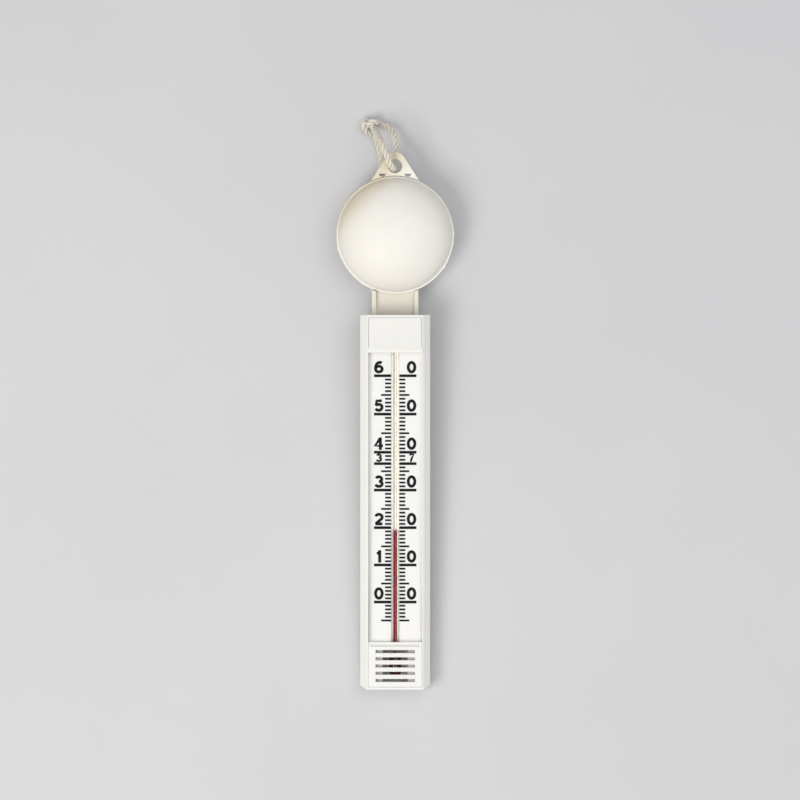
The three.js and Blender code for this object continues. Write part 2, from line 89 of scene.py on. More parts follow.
def own_box(node):
    """Lowest and highest corner of a CAD node in the instrument's own millimetres."""
    low, high = turned_box(node)
    return low - MIDDLE, high - MIDDLE


def to_row(x, y, z):
    return TO_ROW @ Vector((x, y, z))


RIM_RADIUS = own_box("float_front_shell")[1][0]
NECK_LOW, NECK_HIGH = own_box("neck_channel")
PLATE_FRONT = own_box("scale_plate")[1][2]

# ---- sizes, in millimetres

RIM_HALF = 1.2
DOME_RADIUS = 27.9
DOME_DEPTH = 16.0
SHELL_WALL = 1.4
SHELL_SIDES = 240
ROUND_SIDES = 176

# Burrs on the float's rim: where, in degrees, how wide, in degrees, and how far they stand out.
FLASH = [
    (2, 1.6, 0.35), (176, 1.2, 0.3), (194, 2.2, 0.4), (201, 1.4, 0.28), (236, 2.5, 0.2),
    (327, 1.6, 0.45), (333, 1.3, 0.25), (38, 2.0, 0.22), (352, 1.5, 0.2),
]

EAR_BASE = (12.35, 25.8)
EAR_TIP = {"y": 35.3, "radius": 5.35, "shoulder": 38.3}
EYELET = {"y": 33.8, "radius": 3.43}
EAR_SLOT = {"x": 6.25, "y": 30.1, "half": 1.65, "drop": 1.4}
EAR_DIMPLE = {"y": 39.0, "radius": 0.55, "depth": 0.4}
EAR_EDGE = 0.22
EAR_ROOT = 0.5
NECK_RAIL = 2.0
NECK_START = -20.0
NECK_STEP = 0.01 - GAP / 2
BEVEL_START = 9.3
FRONT_HALF = 13.7
WINDOW_HALF = 13.2
SIDE_WALL = 1.85
END_WALL = 1.3
CORNER_CUT = (3.0, 2.3)
BACK_WALL = 1.5
BACK_FIELD = {"side": 3.0, "top": 3.0, "bottom": 6.0, "depth": 0.25}
GATE_MARK = {"radius": 1.6, "low": 0.05, "high": 0.4}
RIB = {"inner": 13.8, "outer": 15.0, "top": -60.0, "bottom": -218.0}
CROSS_RIB = {"height": 4.9, "half": 0.6, "places": (-53, -100, -150, -195, -210.5)}
COVER_WALL = 1.1
COVER_LIFT = 0.02
LIP_LIFT = 0.03
TUBE_NOTCH = 2.0
COVER_SEAM = 0.04
LIP_HALF = 13.45
GRILLE_SLOT = {"below_top": 4.6, "pitch": 3.53, "count": 5, "half": 9.6, "height": 1.42}
GRILLE_GROOVE = {"below_top": 1.7, "half": 12.0, "height": 0.8, "depth": 0.7}
TUBE_Z = 8.4
STEM_RADIUS = 1.9
NEAR_AXIS = 0.02
BULB_RADIUS = 3.0
BULB_WALL = 0.6
SHOULDER = 8.8
BORE_RADIUS = 0.6
LIQUID_OVERLAP = 0.02
LIQUID_RADIUS = BORE_RADIUS + LIQUID_OVERLAP
MENISCUS_DIP = 0.35
PLATE_THICKNESS = 1.2
BULB_SLOT = {"half": 6.1, "top": -201.5}
TROUGH_RADIUS = 2.2
TROUGH_WALL = 1.0

# The scale: where its freezing mark is, and how the degrees open up above it.
ZERO_MARK = -179.8
MM_PER_DEGREE = 1.808
MM_PER_DEGREE_SQUARED = 0.00065

# Printing: how deep it sits in the plate and how far it stands out, and the marks' sizes.
INK_LOW = -0.02
INK_HIGH = 0.03
MARK_START = 2.0
MARK_REACH = {"major": 10.4, "five": 6.9, "one": 4.95}
MARK_WIDTH = {"major": 1.32, "minor": 0.92}
BODY_MARK = 37

# Digits: their height, the pen's width, and how far above their mark they stand.
DIGITS = (6.1, 1.45, 1.15)
SMALL_DIGITS = (4.1, 1.0, 0.85)
DIGITS_AT = (-8.0, 8.0)
DIGIT_SPREAD = 1.12

# The cord, in metres: its diameter, the length of one twist, and how far apart turns are stacked.
CORD = 3.2 * MM
CORD_LAY = 9.0 * MM
TURN_GAP = 3.25 * MM

# How far cutting shapes reach past what they cut, and how far joined shapes overlap.
CLEAR = 1.0
OVERLAP = 0.1

# ---- meshes


def new_object(name, data):
    obj = bpy.data.objects.new(name, data)
    SCENE.collection.objects.link(obj)
    return obj


def mended(mesh, merge=0.0):
    """Merges points closer than a distance, and turns all faces outward."""
    bm = bmesh.new()
    bm.from_mesh(mesh)
    if merge:
        bmesh.ops.remove_doubles(bm, verts=bm.verts, dist=merge)
    bmesh.ops.recalc_face_normals(bm, faces=bm.faces)
    bm.to_mesh(mesh)
    bm.free()


def from_points(name, points, faces):
    mesh = bpy.data.meshes.new(name)
    mesh.from_pydata([tuple(p) for p in points], [], faces)
    mended(mesh)
    return new_object(name, mesh)


def applied(obj):
    """Writes an object's modifiers, or a curve's thickness, into a new mesh."""
    graph = bpy.context.evaluated_depsgraph_get()
    graph.update()
    mesh = bpy.data.meshes.new_from_object(obj.evaluated_get(graph))
    if obj.type == "MESH":
        obj.modifiers.clear()
        obj.data = mesh
        return obj
    made = new_object(obj.name, mesh)
    made.matrix_world = obj.matrix_world
    bpy.data.objects.remove(obj)
    return made


def modified(obj, kind, **settings):
    modifier = obj.modifiers.new(kind.lower(), kind)
    for name, value in settings.items():
        setattr(modifier, name, value)
    return applied(obj)


def joined_mesh(shapes):
    """Several meshes as one object, without merging what touches."""
    first = shapes[0]
    if len(shapes) == 1:
        return first
    with bpy.context.temp_override(active_object=first, selected_editable_objects=shapes):
        bpy.ops.object.join()
    return first


def cut(obj, *tools, operation="DIFFERENCE"):
    for tool in tools:
        modified(obj, "BOOLEAN", object=tool, operation=operation, solver="EXACT")
        bpy.data.objects.remove(tool)
    return obj


def join(obj, *others):
    return cut(obj, *others, operation="UNION")


def shade(obj, angle):
    """Smooth faces, with edges kept sharp past an angle in degrees."""
    obj.data.polygons.foreach_set("use_smooth", [True] * len(obj.data.polygons))
    obj.data.set_sharp_from_angle(angle=math.radians(angle))
    return obj


def soften(obj, width, segments=3):
    """Rounds every edge sharper than 30 degrees."""
    shade(obj, 180)
    return modified(
        obj, "BEVEL",
        width=width, segments=segments, limit_method="ANGLE", angle_limit=math.radians(30),
        harden_normals=True, use_clamp_overlap=False,
    )


def ring_faces(a, b, count):
    """Faces between two rings of points that start at numbers a and b."""
    return [(a + i, a + (i + 1) % count, b + (i + 1) % count, b + i) for i in range(count)]


def prism(outline, low, high, axis="z"):
    """A polygon in two axes, given thickness from low to high along the third."""
    place, count = "xyz".index(axis), len(outline)
    points = [(*p[:place], end, *p[place:]) for end in (low, high) for p in outline]
    ends = [tuple(range(count)), tuple(range(count, 2 * count))]
    return from_points("prism", points, ring_faces(0, count, count) + ends)


def block(x, y, z):
    corners = [(x[0], y[0]), (x[1], y[0]), (x[1], y[1]), (x[0], y[1])]
    return prism(corners, *z)


def slab(half, y, z):
    """A block centred on x = 0."""
    return block((-half, half), y, z)


def arc(cx, cy, radius, start, end, steps):
    """Points on an arc between two angles in degrees."""
    angles = [math.radians(start + (end - start) * i / steps) for i in range(steps + 1)]
    return [(cx + radius * math.cos(a), cy + radius * math.sin(a)) for a in angles]


def disc(x, y, radius, low, high, sides):
    return prism(arc(x, y, radius, 0, 360, sides)[:-1], low, high)


def turned(profile, sides, axis="z"):
    """A profile of (radius, height) turned about z or the tube; it closes on itself or on the axis."""
    points, rings, faces = [], [], []
    for radius, height in profile:
        count = 1 if radius < 1e-6 else sides
        rings.append(range(len(points), len(points) + count))
        for i in range(count):
            a = 2 * math.pi * i / sides
            x, y = radius * math.cos(a), radius * math.sin(a)
            points.append((x, y, height) if axis == "z" else (x, height, y + TUBE_Z))
    closed = len(rings[0]) > 1
    pairs = list(zip(rings, rings[1:])) + ([(rings[-1], rings[0])] if closed else [])
    for low, high in pairs:
        for i in range(sides):
            k = (i + 1) % sides
            corners = [low[i % len(low)], low[k % len(low)], high[k % len(high)], high[i % len(high)]]
            faces.append(tuple(dict.fromkeys(corners)))
    return from_points("turned", points, faces)


def plate(outlines, low, high, edge):
    """A flat piece with rounded edges: its first outline is its rim, and the others are holes."""
    curve = bpy.data.curves.new("plate", "CURVE")
    curve.dimensions = "2D"
    curve.fill_mode = "BOTH"
    curve.extrude = (high - low) / 2 - edge
    curve.bevel_depth = edge
    curve.bevel_resolution = 2
    curve.offset = -edge
    for outline in outlines:
        spline = curve.splines.new("POLY")
        spline.points.add(len(outline) - 1)
        for point, (x, y) in zip(spline.points, outline):
            point.co = (x, y, 0, 1)
        spline.use_cyclic_u = True
    made = applied(new_object("plate", curve))
    made.data.transform(Matrix.Translation((0, 0, (low + high) / 2)))
    mended(made.data, 1e-4)
    return made


def finished(obj, name, material, slot=None, replaces=(), body="root", matrix=TO_ROW):
    """Places and names a piece, gives it its material and lets it ride on its body."""
    obj.name = name
    obj.data.name = name
    obj.data.transform(matrix)
    obj.data.materials.clear()
    obj.data.materials.append(material)
    if replaces:
        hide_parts(*replaces)
    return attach(obj, body) if body else obj


# ---- materials


class Surface:
    """A node material built round one Principled shader."""

    def __init__(self, name, **shader):
        self.material = bpy.data.materials.new(name)
        self.material.use_nodes = True
        self.tree = self.material.node_tree
        self.shader = self.tree.nodes["Principled BSDF"]
        for socket, value in shader.items():
            self.shader.inputs[socket.replace("_", " ")].default_value = value
        self.place = self.node("ShaderNodeTexCoord").outputs["Object"]

    def node(self, kind, links=(), **settings):
        made = self.tree.nodes.new(kind)
        for name, value in settings.items():
            if name in made.inputs:
                made.inputs[name].default_value = value
            else:
                setattr(made, name, value)
        for socket, source in dict(links).items():
            self.tree.links.new(source, made.inputs[socket])
        return made

    def noise(self, scale, detail, roughness=0.5, place=None):
        """Cloudy noise with patches about 1 / scale metres wide."""
        links = {"Vector": place or self.place}
        made = self.node("ShaderNodeTexNoise", links, Scale=scale, Detail=detail, Roughness=roughness)
        return made.outputs["Fac"]

    def ramp(self, value, low, high, start=0.35, end=0.65):
        """A colour or number that changes from low to high as the value goes from start to end."""
        made = self.node("ShaderNodeValToRGB", {"Fac": value})
        first, last = made.color_ramp.elements
        first.position, last.position = start, end
        first.color, last.color = colour(low), colour(high)
        return made.outputs["Color"]

    def across(self, direction, start, end):
        """Rises from 0 to 1 between two distances along a direction, with a ragged front."""
        dot = self.node("ShaderNodeVectorMath", {0: self.place}, operation="DOT_PRODUCT")
        dot.inputs[1].default_value = direction
        links = {0: self.noise(70, 3), 2: dot.outputs["Value"]}
        ragged = self.node("ShaderNodeMath", links, operation="MULTIPLY_ADD")
        ragged.inputs[1].default_value = 0.25 * (end - start)
        links = {"Value": ragged.outputs["Value"]}
        shift = 0.12 * (end - start)
        limits = {"From Min": start + shift, "From Max": end + shift}
        rise = self.node("ShaderNodeMapRange", links, interpolation_type="SMOOTHSTEP", **limits)
        return rise.outputs["Result"]

    def blend(self, factor, a, b, mode="MIX"):
        made = self.node("ShaderNodeMix", {0: factor}, data_type="RGBA", blend_type=mode)
        for socket, source in ((made.inputs[6], a), (made.inputs[7], b)):
            if hasattr(source, "links"):
                self.tree.links.new(source, socket)
            else:
                socket.default_value = colour(source)
        return made.outputs[2]

    def filled(self, base, roughness, *bumps):
        """Links the shader's colour, roughness and stacked bumps of (height, metres, strength)."""
        links = {"Base Color": base, "Roughness": roughness}
        for height, distance, strength in bumps:
            sources = {"Height": height}
            if "Normal" in links:
                sources["Normal"] = links["Normal"]
            made = self.node("ShaderNodeBump", sources, Distance=distance, Strength=strength)
            links["Normal"] = made.outputs["Normal"]
        for socket, source in links.items():
            self.tree.links.new(source, self.shader.inputs[socket])
        return self.material


def colour(value):
    """A grey from one number, or a colour, with full alpha."""
    rgb = (value,) * 3 if isinstance(value, (int, float)) else tuple(value)[:3]
    return (*rgb, 1.0)


def darker(rgb, share):
    return tuple(c * share for c in rgb)


def moulded(name, rgb, tint, roughness, worn=0.5, stain_and_shade=None):
    """Moulded plastic: slightly cloudy, finely grained, paler on edges, with grime and painted shade in
    corners.
    """
    s = Surface(name, Subsurface_Weight=0.35, Subsurface_Radius=(1.0, 0.92, 0.78), Subsurface_Scale=0.0022)
    cloud = s.blend(s.ramp(s.noise(28, 4), 0.0, 1.0), rgb, tint)
    flow = s.ramp(s.noise(160, 5, 0.6), 0.0, 1.0, 0.3, 0.75)
    body = s.blend(flow, cloud, darker(rgb, 0.955))
    edge = s.node("ShaderNodeNewGeometry").outputs["Pointiness"]
    rubbed = s.ramp(edge, 0.0, worn, 0.515, 0.56)
    # Concave corners turn darker: grime and painted shade, taken from how pointed the surface is.
    corner_grime_and_shade = s.ramp(edge, 0.55, 0.0, 0.42, 0.49)
    pale = s.blend(rubbed, body, tuple(min(1.0, c * 1.06) for c in rgb))
    aged_and_shaded = s.blend(corner_grime_and_shade, pale, darker(tint, 0.8))
    # A yellow-brown stain with painted shade, rising across one side.
    if stain_and_shade:
        aged_and_shaded = s.blend(s.across(*stain_and_shade), aged_and_shaded, (0.83, 0.77, 0.64), "MULTIPLY")
    rough = s.ramp(s.noise(320, 4, 0.6), roughness - 0.06, roughness + 0.08)
    return s.filled(aged_and_shaded, rough, (s.noise(5200, 3), 0.000012, 0.35), (s.noise(420, 2), 0.00005, 0.12))


def printed_ink():
    s = Surface("scale_ink", Specular_IOR_Level=0.08)
    black = s.ramp(s.noise(900, 4), (0.006, 0.006, 0.008), (0.02, 0.018, 0.02))
    return s.filled(black, s.ramp(s.noise(1500, 3), 0.42, 0.6), (s.noise(3500, 2), 0.00001, 0.3))


def clear_glass():
    """Glass that lets lamplight through to the trough behind it, with faint streaks."""
    s = Surface("clear_glass", IOR=1.47, Transmission_Weight=1.0, Specular_IOR_Level=0.12)
    stretched = s.node("ShaderNodeMapping", {"Vector": s.place}, Scale=(900, 2, 900))
    streaks = s.noise(1.0, 3, place=stretched.outputs["Vector"])
    tinted = s.ramp(streaks, (0.90, 0.885, 0.855), (0.94, 0.925, 0.90))
    s.filled(tinted, s.ramp(streaks, 0.0, 0.03), (streaks, 0.00001, 0.02))
    clear = s.node("ShaderNodeBsdfTransparent", Color=colour((0.93, 0.915, 0.89))).outputs[0]
    shadow = s.node("ShaderNodeLightPath").outputs["Is Shadow Ray"]
    mix = s.node("ShaderNodeMixShader", {0: shadow, 1: s.shader.outputs[0], 2: clear})
    s.tree.links.new(mix.outputs[0], s.tree.nodes["Material Output"].inputs["Surface"])
    return s.material


def red_spirit(name, rgb):
    s = Surface(name, IOR=1.36, Specular_IOR_Level=0.1)
    red = s.ramp(s.noise(260, 3), rgb, darker(rgb, 0.78))
    return s.filled(red, s.ramp(s.noise(500, 2), 0.35, 0.5), (s.noise(900, 2), 0.00001, 0.2))


def soft_rubber():
    s = Surface("soft_rubber")
    grey = s.ramp(s.noise(300, 4), (0.50, 0.49, 0.46), (0.62, 0.60, 0.57))
    return s.filled(grey, s.ramp(s.noise(800, 3), 0.8, 0.95), (s.noise(2600, 3), 0.00003, 0.4))


def twisted_yarn():
    """Cream cord: fine yarns across each strand, a little fuzz, and grime and painted shade in the
    grooves.
    """
    s = Surface(
        "twisted_yarn", Sheen_Weight=0.35, Sheen_Roughness=0.6,
        Subsurface_Weight=0.6, Subsurface_Radius=(1.0, 0.88, 0.66), Subsurface_Scale=0.0014,
    )
    uv = s.node("ShaderNodeTexCoord").outputs["UV"]
    yarns = s.node(
        "ShaderNodeTexWave", {"Vector": uv},
        bands_direction="DIAGONAL", Scale=5.2, Distortion=0.9, Detail=2.0,
    ).outputs["Fac"]
    fuzz = s.noise(4200, 4, 0.65)
    depth = s.node("ShaderNodeAttribute", attribute_name="groove").outputs["Fac"]
    cream = s.ramp(s.noise(130, 4), (0.96, 0.93, 0.86), (0.92, 0.87, 0.75))
    shaded = s.blend(s.ramp(yarns, 0.0, 0.5, 0.15, 0.6), (0.84, 0.76, 0.61), cream)
    mixed = s.blend(s.ramp(fuzz, 0.0, 0.6, 0.35, 0.7), shaded, cream)
    # Darker deep in the grooves between strands: grime and painted shade.
    groove_grime_and_shade = s.blend(s.ramp(depth, 0.0, 0.6, 0.35, 1.0), mixed, (0.60, 0.51, 0.37))
    return s.filled(groove_grime_and_shade, s.ramp(fuzz, 0.82, 0.98), (yarns, 0.00022, 0.7), (fuzz, 0.00008, 0.4))


def tie_band():
    s = Surface("tie_band")
    fibres = s.node("ShaderNodeMapping", {"Vector": s.place}, Scale=(120, 2600, 120))
    grain = s.noise(1.0, 3, place=fibres.outputs["Vector"])
    tan = s.blend(s.ramp(grain, 0.0, 1.0), (0.66, 0.50, 0.28), (0.54, 0.38, 0.19))
    return s.filled(tan, s.ramp(s.noise(700, 3), 0.68, 0.85), (grain, 0.00006, 0.5))


# The float turns darker and yellow-brown towards its top left: a stain and painted shade, fading in over
# 13 mm.
STAIN_AND_SHADE_SIDE = Vector((-1, 1, 0)).normalized()
STAIN_AND_SHADE_FROM = STAIN_AND_SHADE_SIDE.dot(to_row(0, 0, 0)) + 15 * MM
STAIN_AND_SHADE_FADE = 13 * MM
FLOAT_PLASTIC = moulded(
    "float_plastic", (0.88, 0.845, 0.785), (0.84, 0.80, 0.71), 0.5,
    stain_and_shade=(STAIN_AND_SHADE_SIDE, STAIN_AND_SHADE_FROM, STAIN_AND_SHADE_FROM + STAIN_AND_SHADE_FADE),
)
# A darker, yellower copy of the white plastic: the shade on the neck's recessed web, painted over the
# whole neck.
SHADED_NECK_PLASTIC = moulded("neck_plastic", (0.74, 0.70, 0.62), (0.69, 0.64, 0.53), 0.5)
CASE_PLASTIC = moulded("case_plastic", (0.85, 0.84, 0.81), (0.81, 0.79, 0.73), 0.42)
SCALE_PLASTIC = moulded("scale_plastic", (0.86, 0.85, 0.82), (0.83, 0.81, 0.76), 0.48, worn=0.2)
INK = printed_ink()
GLASS = clear_glass()
SPIRIT = red_spirit("red_spirit", (0.21, 0.003, 0.004))
DEEP_SPIRIT = red_spirit("deep_spirit", (0.06, 0.004, 0.008))
RUBBER = soft_rubber()
YARN = twisted_yarn()
BAND = tie_band()

# ---- camera and floor

VIEW_WIDTH = 392.0
VIEW_MIDDLE = (2.35, -80.85)
VIEW_PLANE = 5.0
VIEW_DISTANCE = 8000.0
SENSOR = 36.0


def camera():
    """Looks straight at the case's front from far away, so that nothing under it shows beside it."""
    data = bpy.data.cameras.new("camera")
    data.sensor_width = SENSOR
    data.lens = SENSOR * (VIEW_DISTANCE - VIEW_PLANE) / VIEW_WIDTH
    data.clip_end = 20
    obj = new_object("camera", data)
    place = TURN.copy()
    place.translation = to_row(*VIEW_MIDDLE, VIEW_DISTANCE)
    obj.matrix_world = place
    SCENE.camera = obj


def area_lamp(name, place, size, power, rgb):
    """A square lamp that faces the frame's origin."""
    data = bpy.data.lights.new(name, "AREA")
    data.shape = "RECTANGLE"
    data.size = data.size_y = size
    data.energy = power
    data.color = rgb
    obj = new_object(name, data)
    obj.location = place
    obj.rotation_euler = (-Vector(place)).to_track_quat("-Z", "Y").to_euler()


def floor_material():
    s = Surface("floor_paper")
    grey = s.ramp(s.noise(6, 3), (0.60, 0.60, 0.61), (0.62, 0.62, 0.625))
    return s.filled(grey, s.ramp(s.noise(60, 3), 0.85, 0.95))


def studio():
    corners = [(-4, -4, 0), (4, -4, 0), (4, 4, 0), (-4, 4, 0)]
    floor = from_points("floor", corners, [(0, 1, 2, 3)])
    floor.data.materials.append(floor_material())
    area_lamp("key", (-0.62, -0.56, 1.28), 0.7, 11.6, (1.0, 0.985, 0.96))
    area_lamp("overhead", (0.42, 0.2, 1.7), 1.5, 10.0, (0.98, 0.985, 1.0))
    world = bpy.data.worlds.new("studio")
    world.use_nodes = True
    sky = world.node_tree.nodes["Background"].inputs
    sky["Color"].default_value = (0.97, 0.98, 1.0, 1)
    sky["Strength"].default_value = 0.47
    SCENE.world = world
    SCENE.view_settings.view_transform = "Standard"


# ---- tether


def in_metres(*points):
    return [tuple(v * MM for v in point) for point in points]


# In millimetres, from the knot over the ear, through the eyelet and under the ear to the knot.
LOOP_ROUTE = in_metres(
    (-10.5, 143.5, 7.2), (-9.7, 142.3, 10.8), (-8.8, 140.7, 14.9), (-7.9, 138.8, 19.1),
    (-7, 136.9, 22.9), (-6, 134.3, 25.4), (-4.8, 131, 26.4), (-3.5, 127.7, 25.5), (-2.2, 125.1, 23),
    (-1.1, 124, 19.6), (-0.6, 123.9, 16.4), (-0.3, 125.1, 13.3), (0.1, 127.5, 11),
    (0.3, 130.8, 9.6), (0.4, 134.3, 8.6), (0.1, 137.8, 7.6), (-0.5, 140.8, 6.3), (-1.7, 143.4, 5),
    (-4, 145.6, 3.8), (-7.8, 147, 3),
)

# From the knot along the surface, under the ear and round the float's foot to the hank.
TAIL_ROUTE = in_metres((-10.5, 142.4, 1.75), *((x, y, 1.65) for x, y in (
    (-9.2, 139), (-7.9, 135), (-7, 130.6), (-7.2, 126.2), (-9, 121.6), (-12.2, 116.6), (-16, 111),
    (-19.2, 104.6), (-20.8, 97.4), (-20.6, 89.8), (-18.8, 82), (-15.6, 74.8), (-12, 68.4),
    (-9.7, 62.6), (-9.2, 57.6), (-9.8, 52.6), (-11, 48.6), (-11.9, 45.9),
)))

# The last stretch, from the hank's inner turn to the knot on the free end.
END_ROUTE = in_metres((6, 27.6, 1.65), (5, 30.9, 1.65), (3.2, 33.6, 1.75), (0.9, 36, 2.1))

# The knot at the loop: the cord's short end comes over the other strand and stops as a stub ...
STUB_ROUTE = in_metres(
    (-16.3, 144.6, 1.65), (-15.1, 145.3, 1.8), (-14.4, 145.7, 3.9), (-12.9, 146.9, 6),
    (-11.1, 147.7, 6.5), (-9.3, 147.6, 4.9),
)

# ... and the other strand goes under it, round it and back over it, to the long line.
WRAP_ROUTE = in_metres(
    (-11.2, 145.4, 6.2), (-11.8, 147, 3.4), (-13.2, 148.1, 2.2), (-14.6, 148, 3.4),
    (-15.5, 146.7, 5.2), (-14.9, 144.7, 4.6), (-13.7, 143.2, 2.8), (-11.8, 142.6, 1.9),
)

LINE_STEPS = 12
RING_STEP = 0.5 * MM
CORD_SIDES = 30

HANK_FLOOR = 1.65 * MM
HANK_RUN_STEPS = 4
HANK_ARC_STEPS = 16
HANK_HUMP = 1.2 * MM
HANK_LAST_RUN = 0.35

# The end knot, in cord diameters: its size, how far it opens and climbs along its turn, and its tail.
KNOT_SIZE = 0.72
KNOT_HEIGHT = 0.44
KNOT_OPENS = 0.3
KNOT_CLIMBS = 0.8
KNOT_TAIL = 1.1
KNOT_HEADING = math.radians(98)


def smooth_line(points):
    """Centripetal Catmull-Rom curve through the points."""
    p = [Vector(q) for q in points]
    p = [2 * p[0] - p[1]] + p + [2 * p[-1] - p[-2]]
    dense = []
    for a, b, c, d in zip(p, p[1:], p[2:], p[3:]):
        t1 = (b - a).length ** 0.5
        t2 = t1 + (c - b).length ** 0.5
        t3 = t2 + (d - c).length ** 0.5
        for i in range(LINE_STEPS):
            t = t1 + (t2 - t1) * i / LINE_STEPS
            ab = a.lerp(b, t / t1)
            bc = b.lerp(c, (t - t1) / (t2 - t1))
            cd = c.lerp(d, (t - t2) / (t3 - t2))
            abc = ab.lerp(bc, t / t2)
            bcd = bc.lerp(cd, (t - t1) / (t3 - t1))
            dense.append(abc.lerp(bcd, (t - t1) / (t2 - t1)))
    dense.append(p[-2])
    return np.array(dense)


def eased(share):
    """A share from 0 to 1 that starts and ends slowly."""
    return share * share * (3 - 2 * share)


def spaced(points, step):
    lengths = np.linalg.norm(np.diff(points, axis=0), axis=1)
    walked = np.concatenate([[0], np.cumsum(lengths)])
    count = max(2, round(walked[-1] / step))
    at = np.linspace(0, walked[-1], count + 1)
    return np.stack([np.interp(at, walked, points[:, k]) for k in range(3)], axis=1)


def hank_points():
    """Turns of the hank: outer below, outer and inner on top, then part of an inner one below."""
    low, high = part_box("tether_hank")
    outer = high.x - CORD / 2
    inner = outer - CORD
    far, near = high.y - high.x, low.y + high.x
    top = HANK_FLOOR + TURN_GAP
    points, steps = [], HANK_RUN_STEPS
    turns = [
        (outer, HANK_FLOOR, outer, top, 0.0),
        (outer, top, inner, top, HANK_HUMP),
        (inner, top, inner, HANK_FLOOR, 0.0),
        (inner, HANK_FLOOR, None, None, 0.0),
    ]
    for radius, height, next_radius, next_height, hump in turns:
        points += [(-radius, far + (near - far) * i / steps, height) for i in range(steps)]
        points += [(x, y, height) for x, y in arc(0, near, radius, 180, 360, HANK_ARC_STEPS)]
        if next_radius is None:
            points.append((radius, near + HANK_LAST_RUN * (far - near), height))
            break
        points += [(radius, near + (far - near) * i / steps, height) for i in range(1, steps)]
        for i in range(HANK_ARC_STEPS):
            share = min(1.0, 2 * i / HANK_ARC_STEPS)
            r = radius + (next_radius - radius) * eased(share)
            z = height + (next_height - height) * eased(share) + hump * math.sin(math.pi * share) ** 2
            angle = math.pi * i / HANK_ARC_STEPS
            points.append((r * math.cos(angle), far + r * math.sin(angle), z))
    return points


def end_knot_points():
    """An overhand knot: one turn of a trefoil, opened where the cord comes and goes."""
    low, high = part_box("tether_end_knot")
    middle = (low + high) / 2
    c, s = math.cos(KNOT_HEADING), math.sin(KNOT_HEADING)
    points = []
    for share in np.linspace(0, 1, 27):
        t = math.pi * (1 + 2 * share)
        x = (math.sin(t) + 2 * math.sin(2 * t)) / 3 * KNOT_SIZE + (share - 0.5) * KNOT_OPENS
        y = (math.cos(t) - 2 * math.cos(2 * t)) / 3 * KNOT_SIZE
        z = -math.sin(3 * t) * KNOT_HEIGHT + (share - 0.5) * KNOT_CLIMBS
        across, along = (x * c - y * s) * CORD, (x * s + y * c) * CORD
        height = max(HANK_FLOOR, middle.z + z * CORD)
        points.append((middle.x + across, middle.y + along, height))
    end = Vector(points[-1]) - Vector(points[-2])
    return points + [tuple(Vector(points[-1]) + end.normalized() * KNOT_TAIL * CORD)]


class Cord:
    """The whole cord as one twisted line, so that its pieces meet strand to strand."""

    def __init__(self, *routes):
        joined = smooth_line([point for route in routes for point in route])
        self.line = spaced(joined, RING_STEP)
        steps = np.linalg.norm(np.diff(self.line, axis=0), axis=1)
        self.walked = np.concatenate([[0], np.cumsum(steps)])
        self.along = np.gradient(self.line, axis=0)
        self.along /= np.linalg.norm(self.along, axis=1)[:, None]
        self.side = np.zeros_like(self.line)
        side = np.cross(self.along[0], (0.0, 0.0, 1.0))
        for k, tangent in enumerate(self.along):
            side = side - tangent * (side @ tangent)
            side /= np.linalg.norm(side)
            self.side[k] = side

    def nearest(self, point):
        return int(np.argmin(np.linalg.norm(self.line - np.array(point), axis=1)))

    def ring(self, k):
        """One section through the three strands, with how deep each point lies in a groove."""
        strand, offset = 0.26 * CORD, 0.24 * CORD
        valley, crest = 0.275 * CORD, 0.5 * CORD
        up = np.cross(self.along[k], self.side[k])
        twist = 2 * math.pi * self.walked[k] / CORD_LAY
        points, grooves = [], []
        for i in range(CORD_SIDES):
            a = 2 * math.pi * i / CORD_SIDES
            lobe = (a + math.pi / 3) % (2 * math.pi / 3) - math.pi / 3
            r = offset * math.cos(lobe) + math.sqrt(strand**2 - (offset * math.sin(lobe)) ** 2)
            outward = self.side[k] * math.cos(a + twist) + up * math.sin(a + twist)
            points.append(self.line[k] + outward * r)
            grooves.append((crest - r) / (crest - valley))
        return points, grooves

    def piece(self, name, start, stop):
        """The stretch between two rings as a closed mesh, with its yarns on the UV map."""
        points, grooves, faces, sides = [], [], [], CORD_SIDES
        for k in range(start, stop + 1):
            ring, depth = self.ring(k)
            points += ring
            grooves += depth
        last = (stop - start) * sides
        for a in range(0, last, sides):
            faces += ring_faces(a, a + sides, sides)
        faces += [tuple(range(sides)), tuple(range(last, last + sides))]
        obj = from_points(name, points, faces)
        groove = obj.data.attributes.new("groove", "FLOAT", "POINT")
        groove.data.foreach_set("value", np.clip(grooves, 0, 1))
        layer = obj.data.uv_layers.new(name="UVMap")
        for polygon in obj.data.polygons:
            indices = [obj.data.loops[k].vertex_index for k in polygon.loop_indices]
            wraps = {i % sides for i in indices} == {0, sides - 1}
            for loop, index in zip(polygon.loop_indices, indices):
                k, i = divmod(index, sides)
                u = 3 * (i + (sides if wraps and i == 0 else 0)) / sides
                layer.data[loop].uv = (u, self.walked[start + k] / (0.5 * CORD))
        return shade(obj, 70)


def knot(name, node, *pieces):
    return finished(joined_mesh(list(pieces)), name, YARN, "cord", [node], matrix=Matrix())


def free_cord(name, cord, start, stop, lay, nodes, with_pieces):
    made = finished(cord.piece(name, start, stop), name, YARN, "cord", nodes, matrix=Matrix())


def band_outline(half, low, high, round_by):
    """Rounded rectangle in x and z."""
    corners = [(half, high, 0), (-half, high, 90), (-half, low, 180), (half, low, 270)]
    points = []
    for x, z, start in corners:
        cx = x - math.copysign(round_by, x)
        cz = z - round_by if z == high else z + round_by
        points += arc(cx, cz, round_by, start, start + 90, 8)
    return points


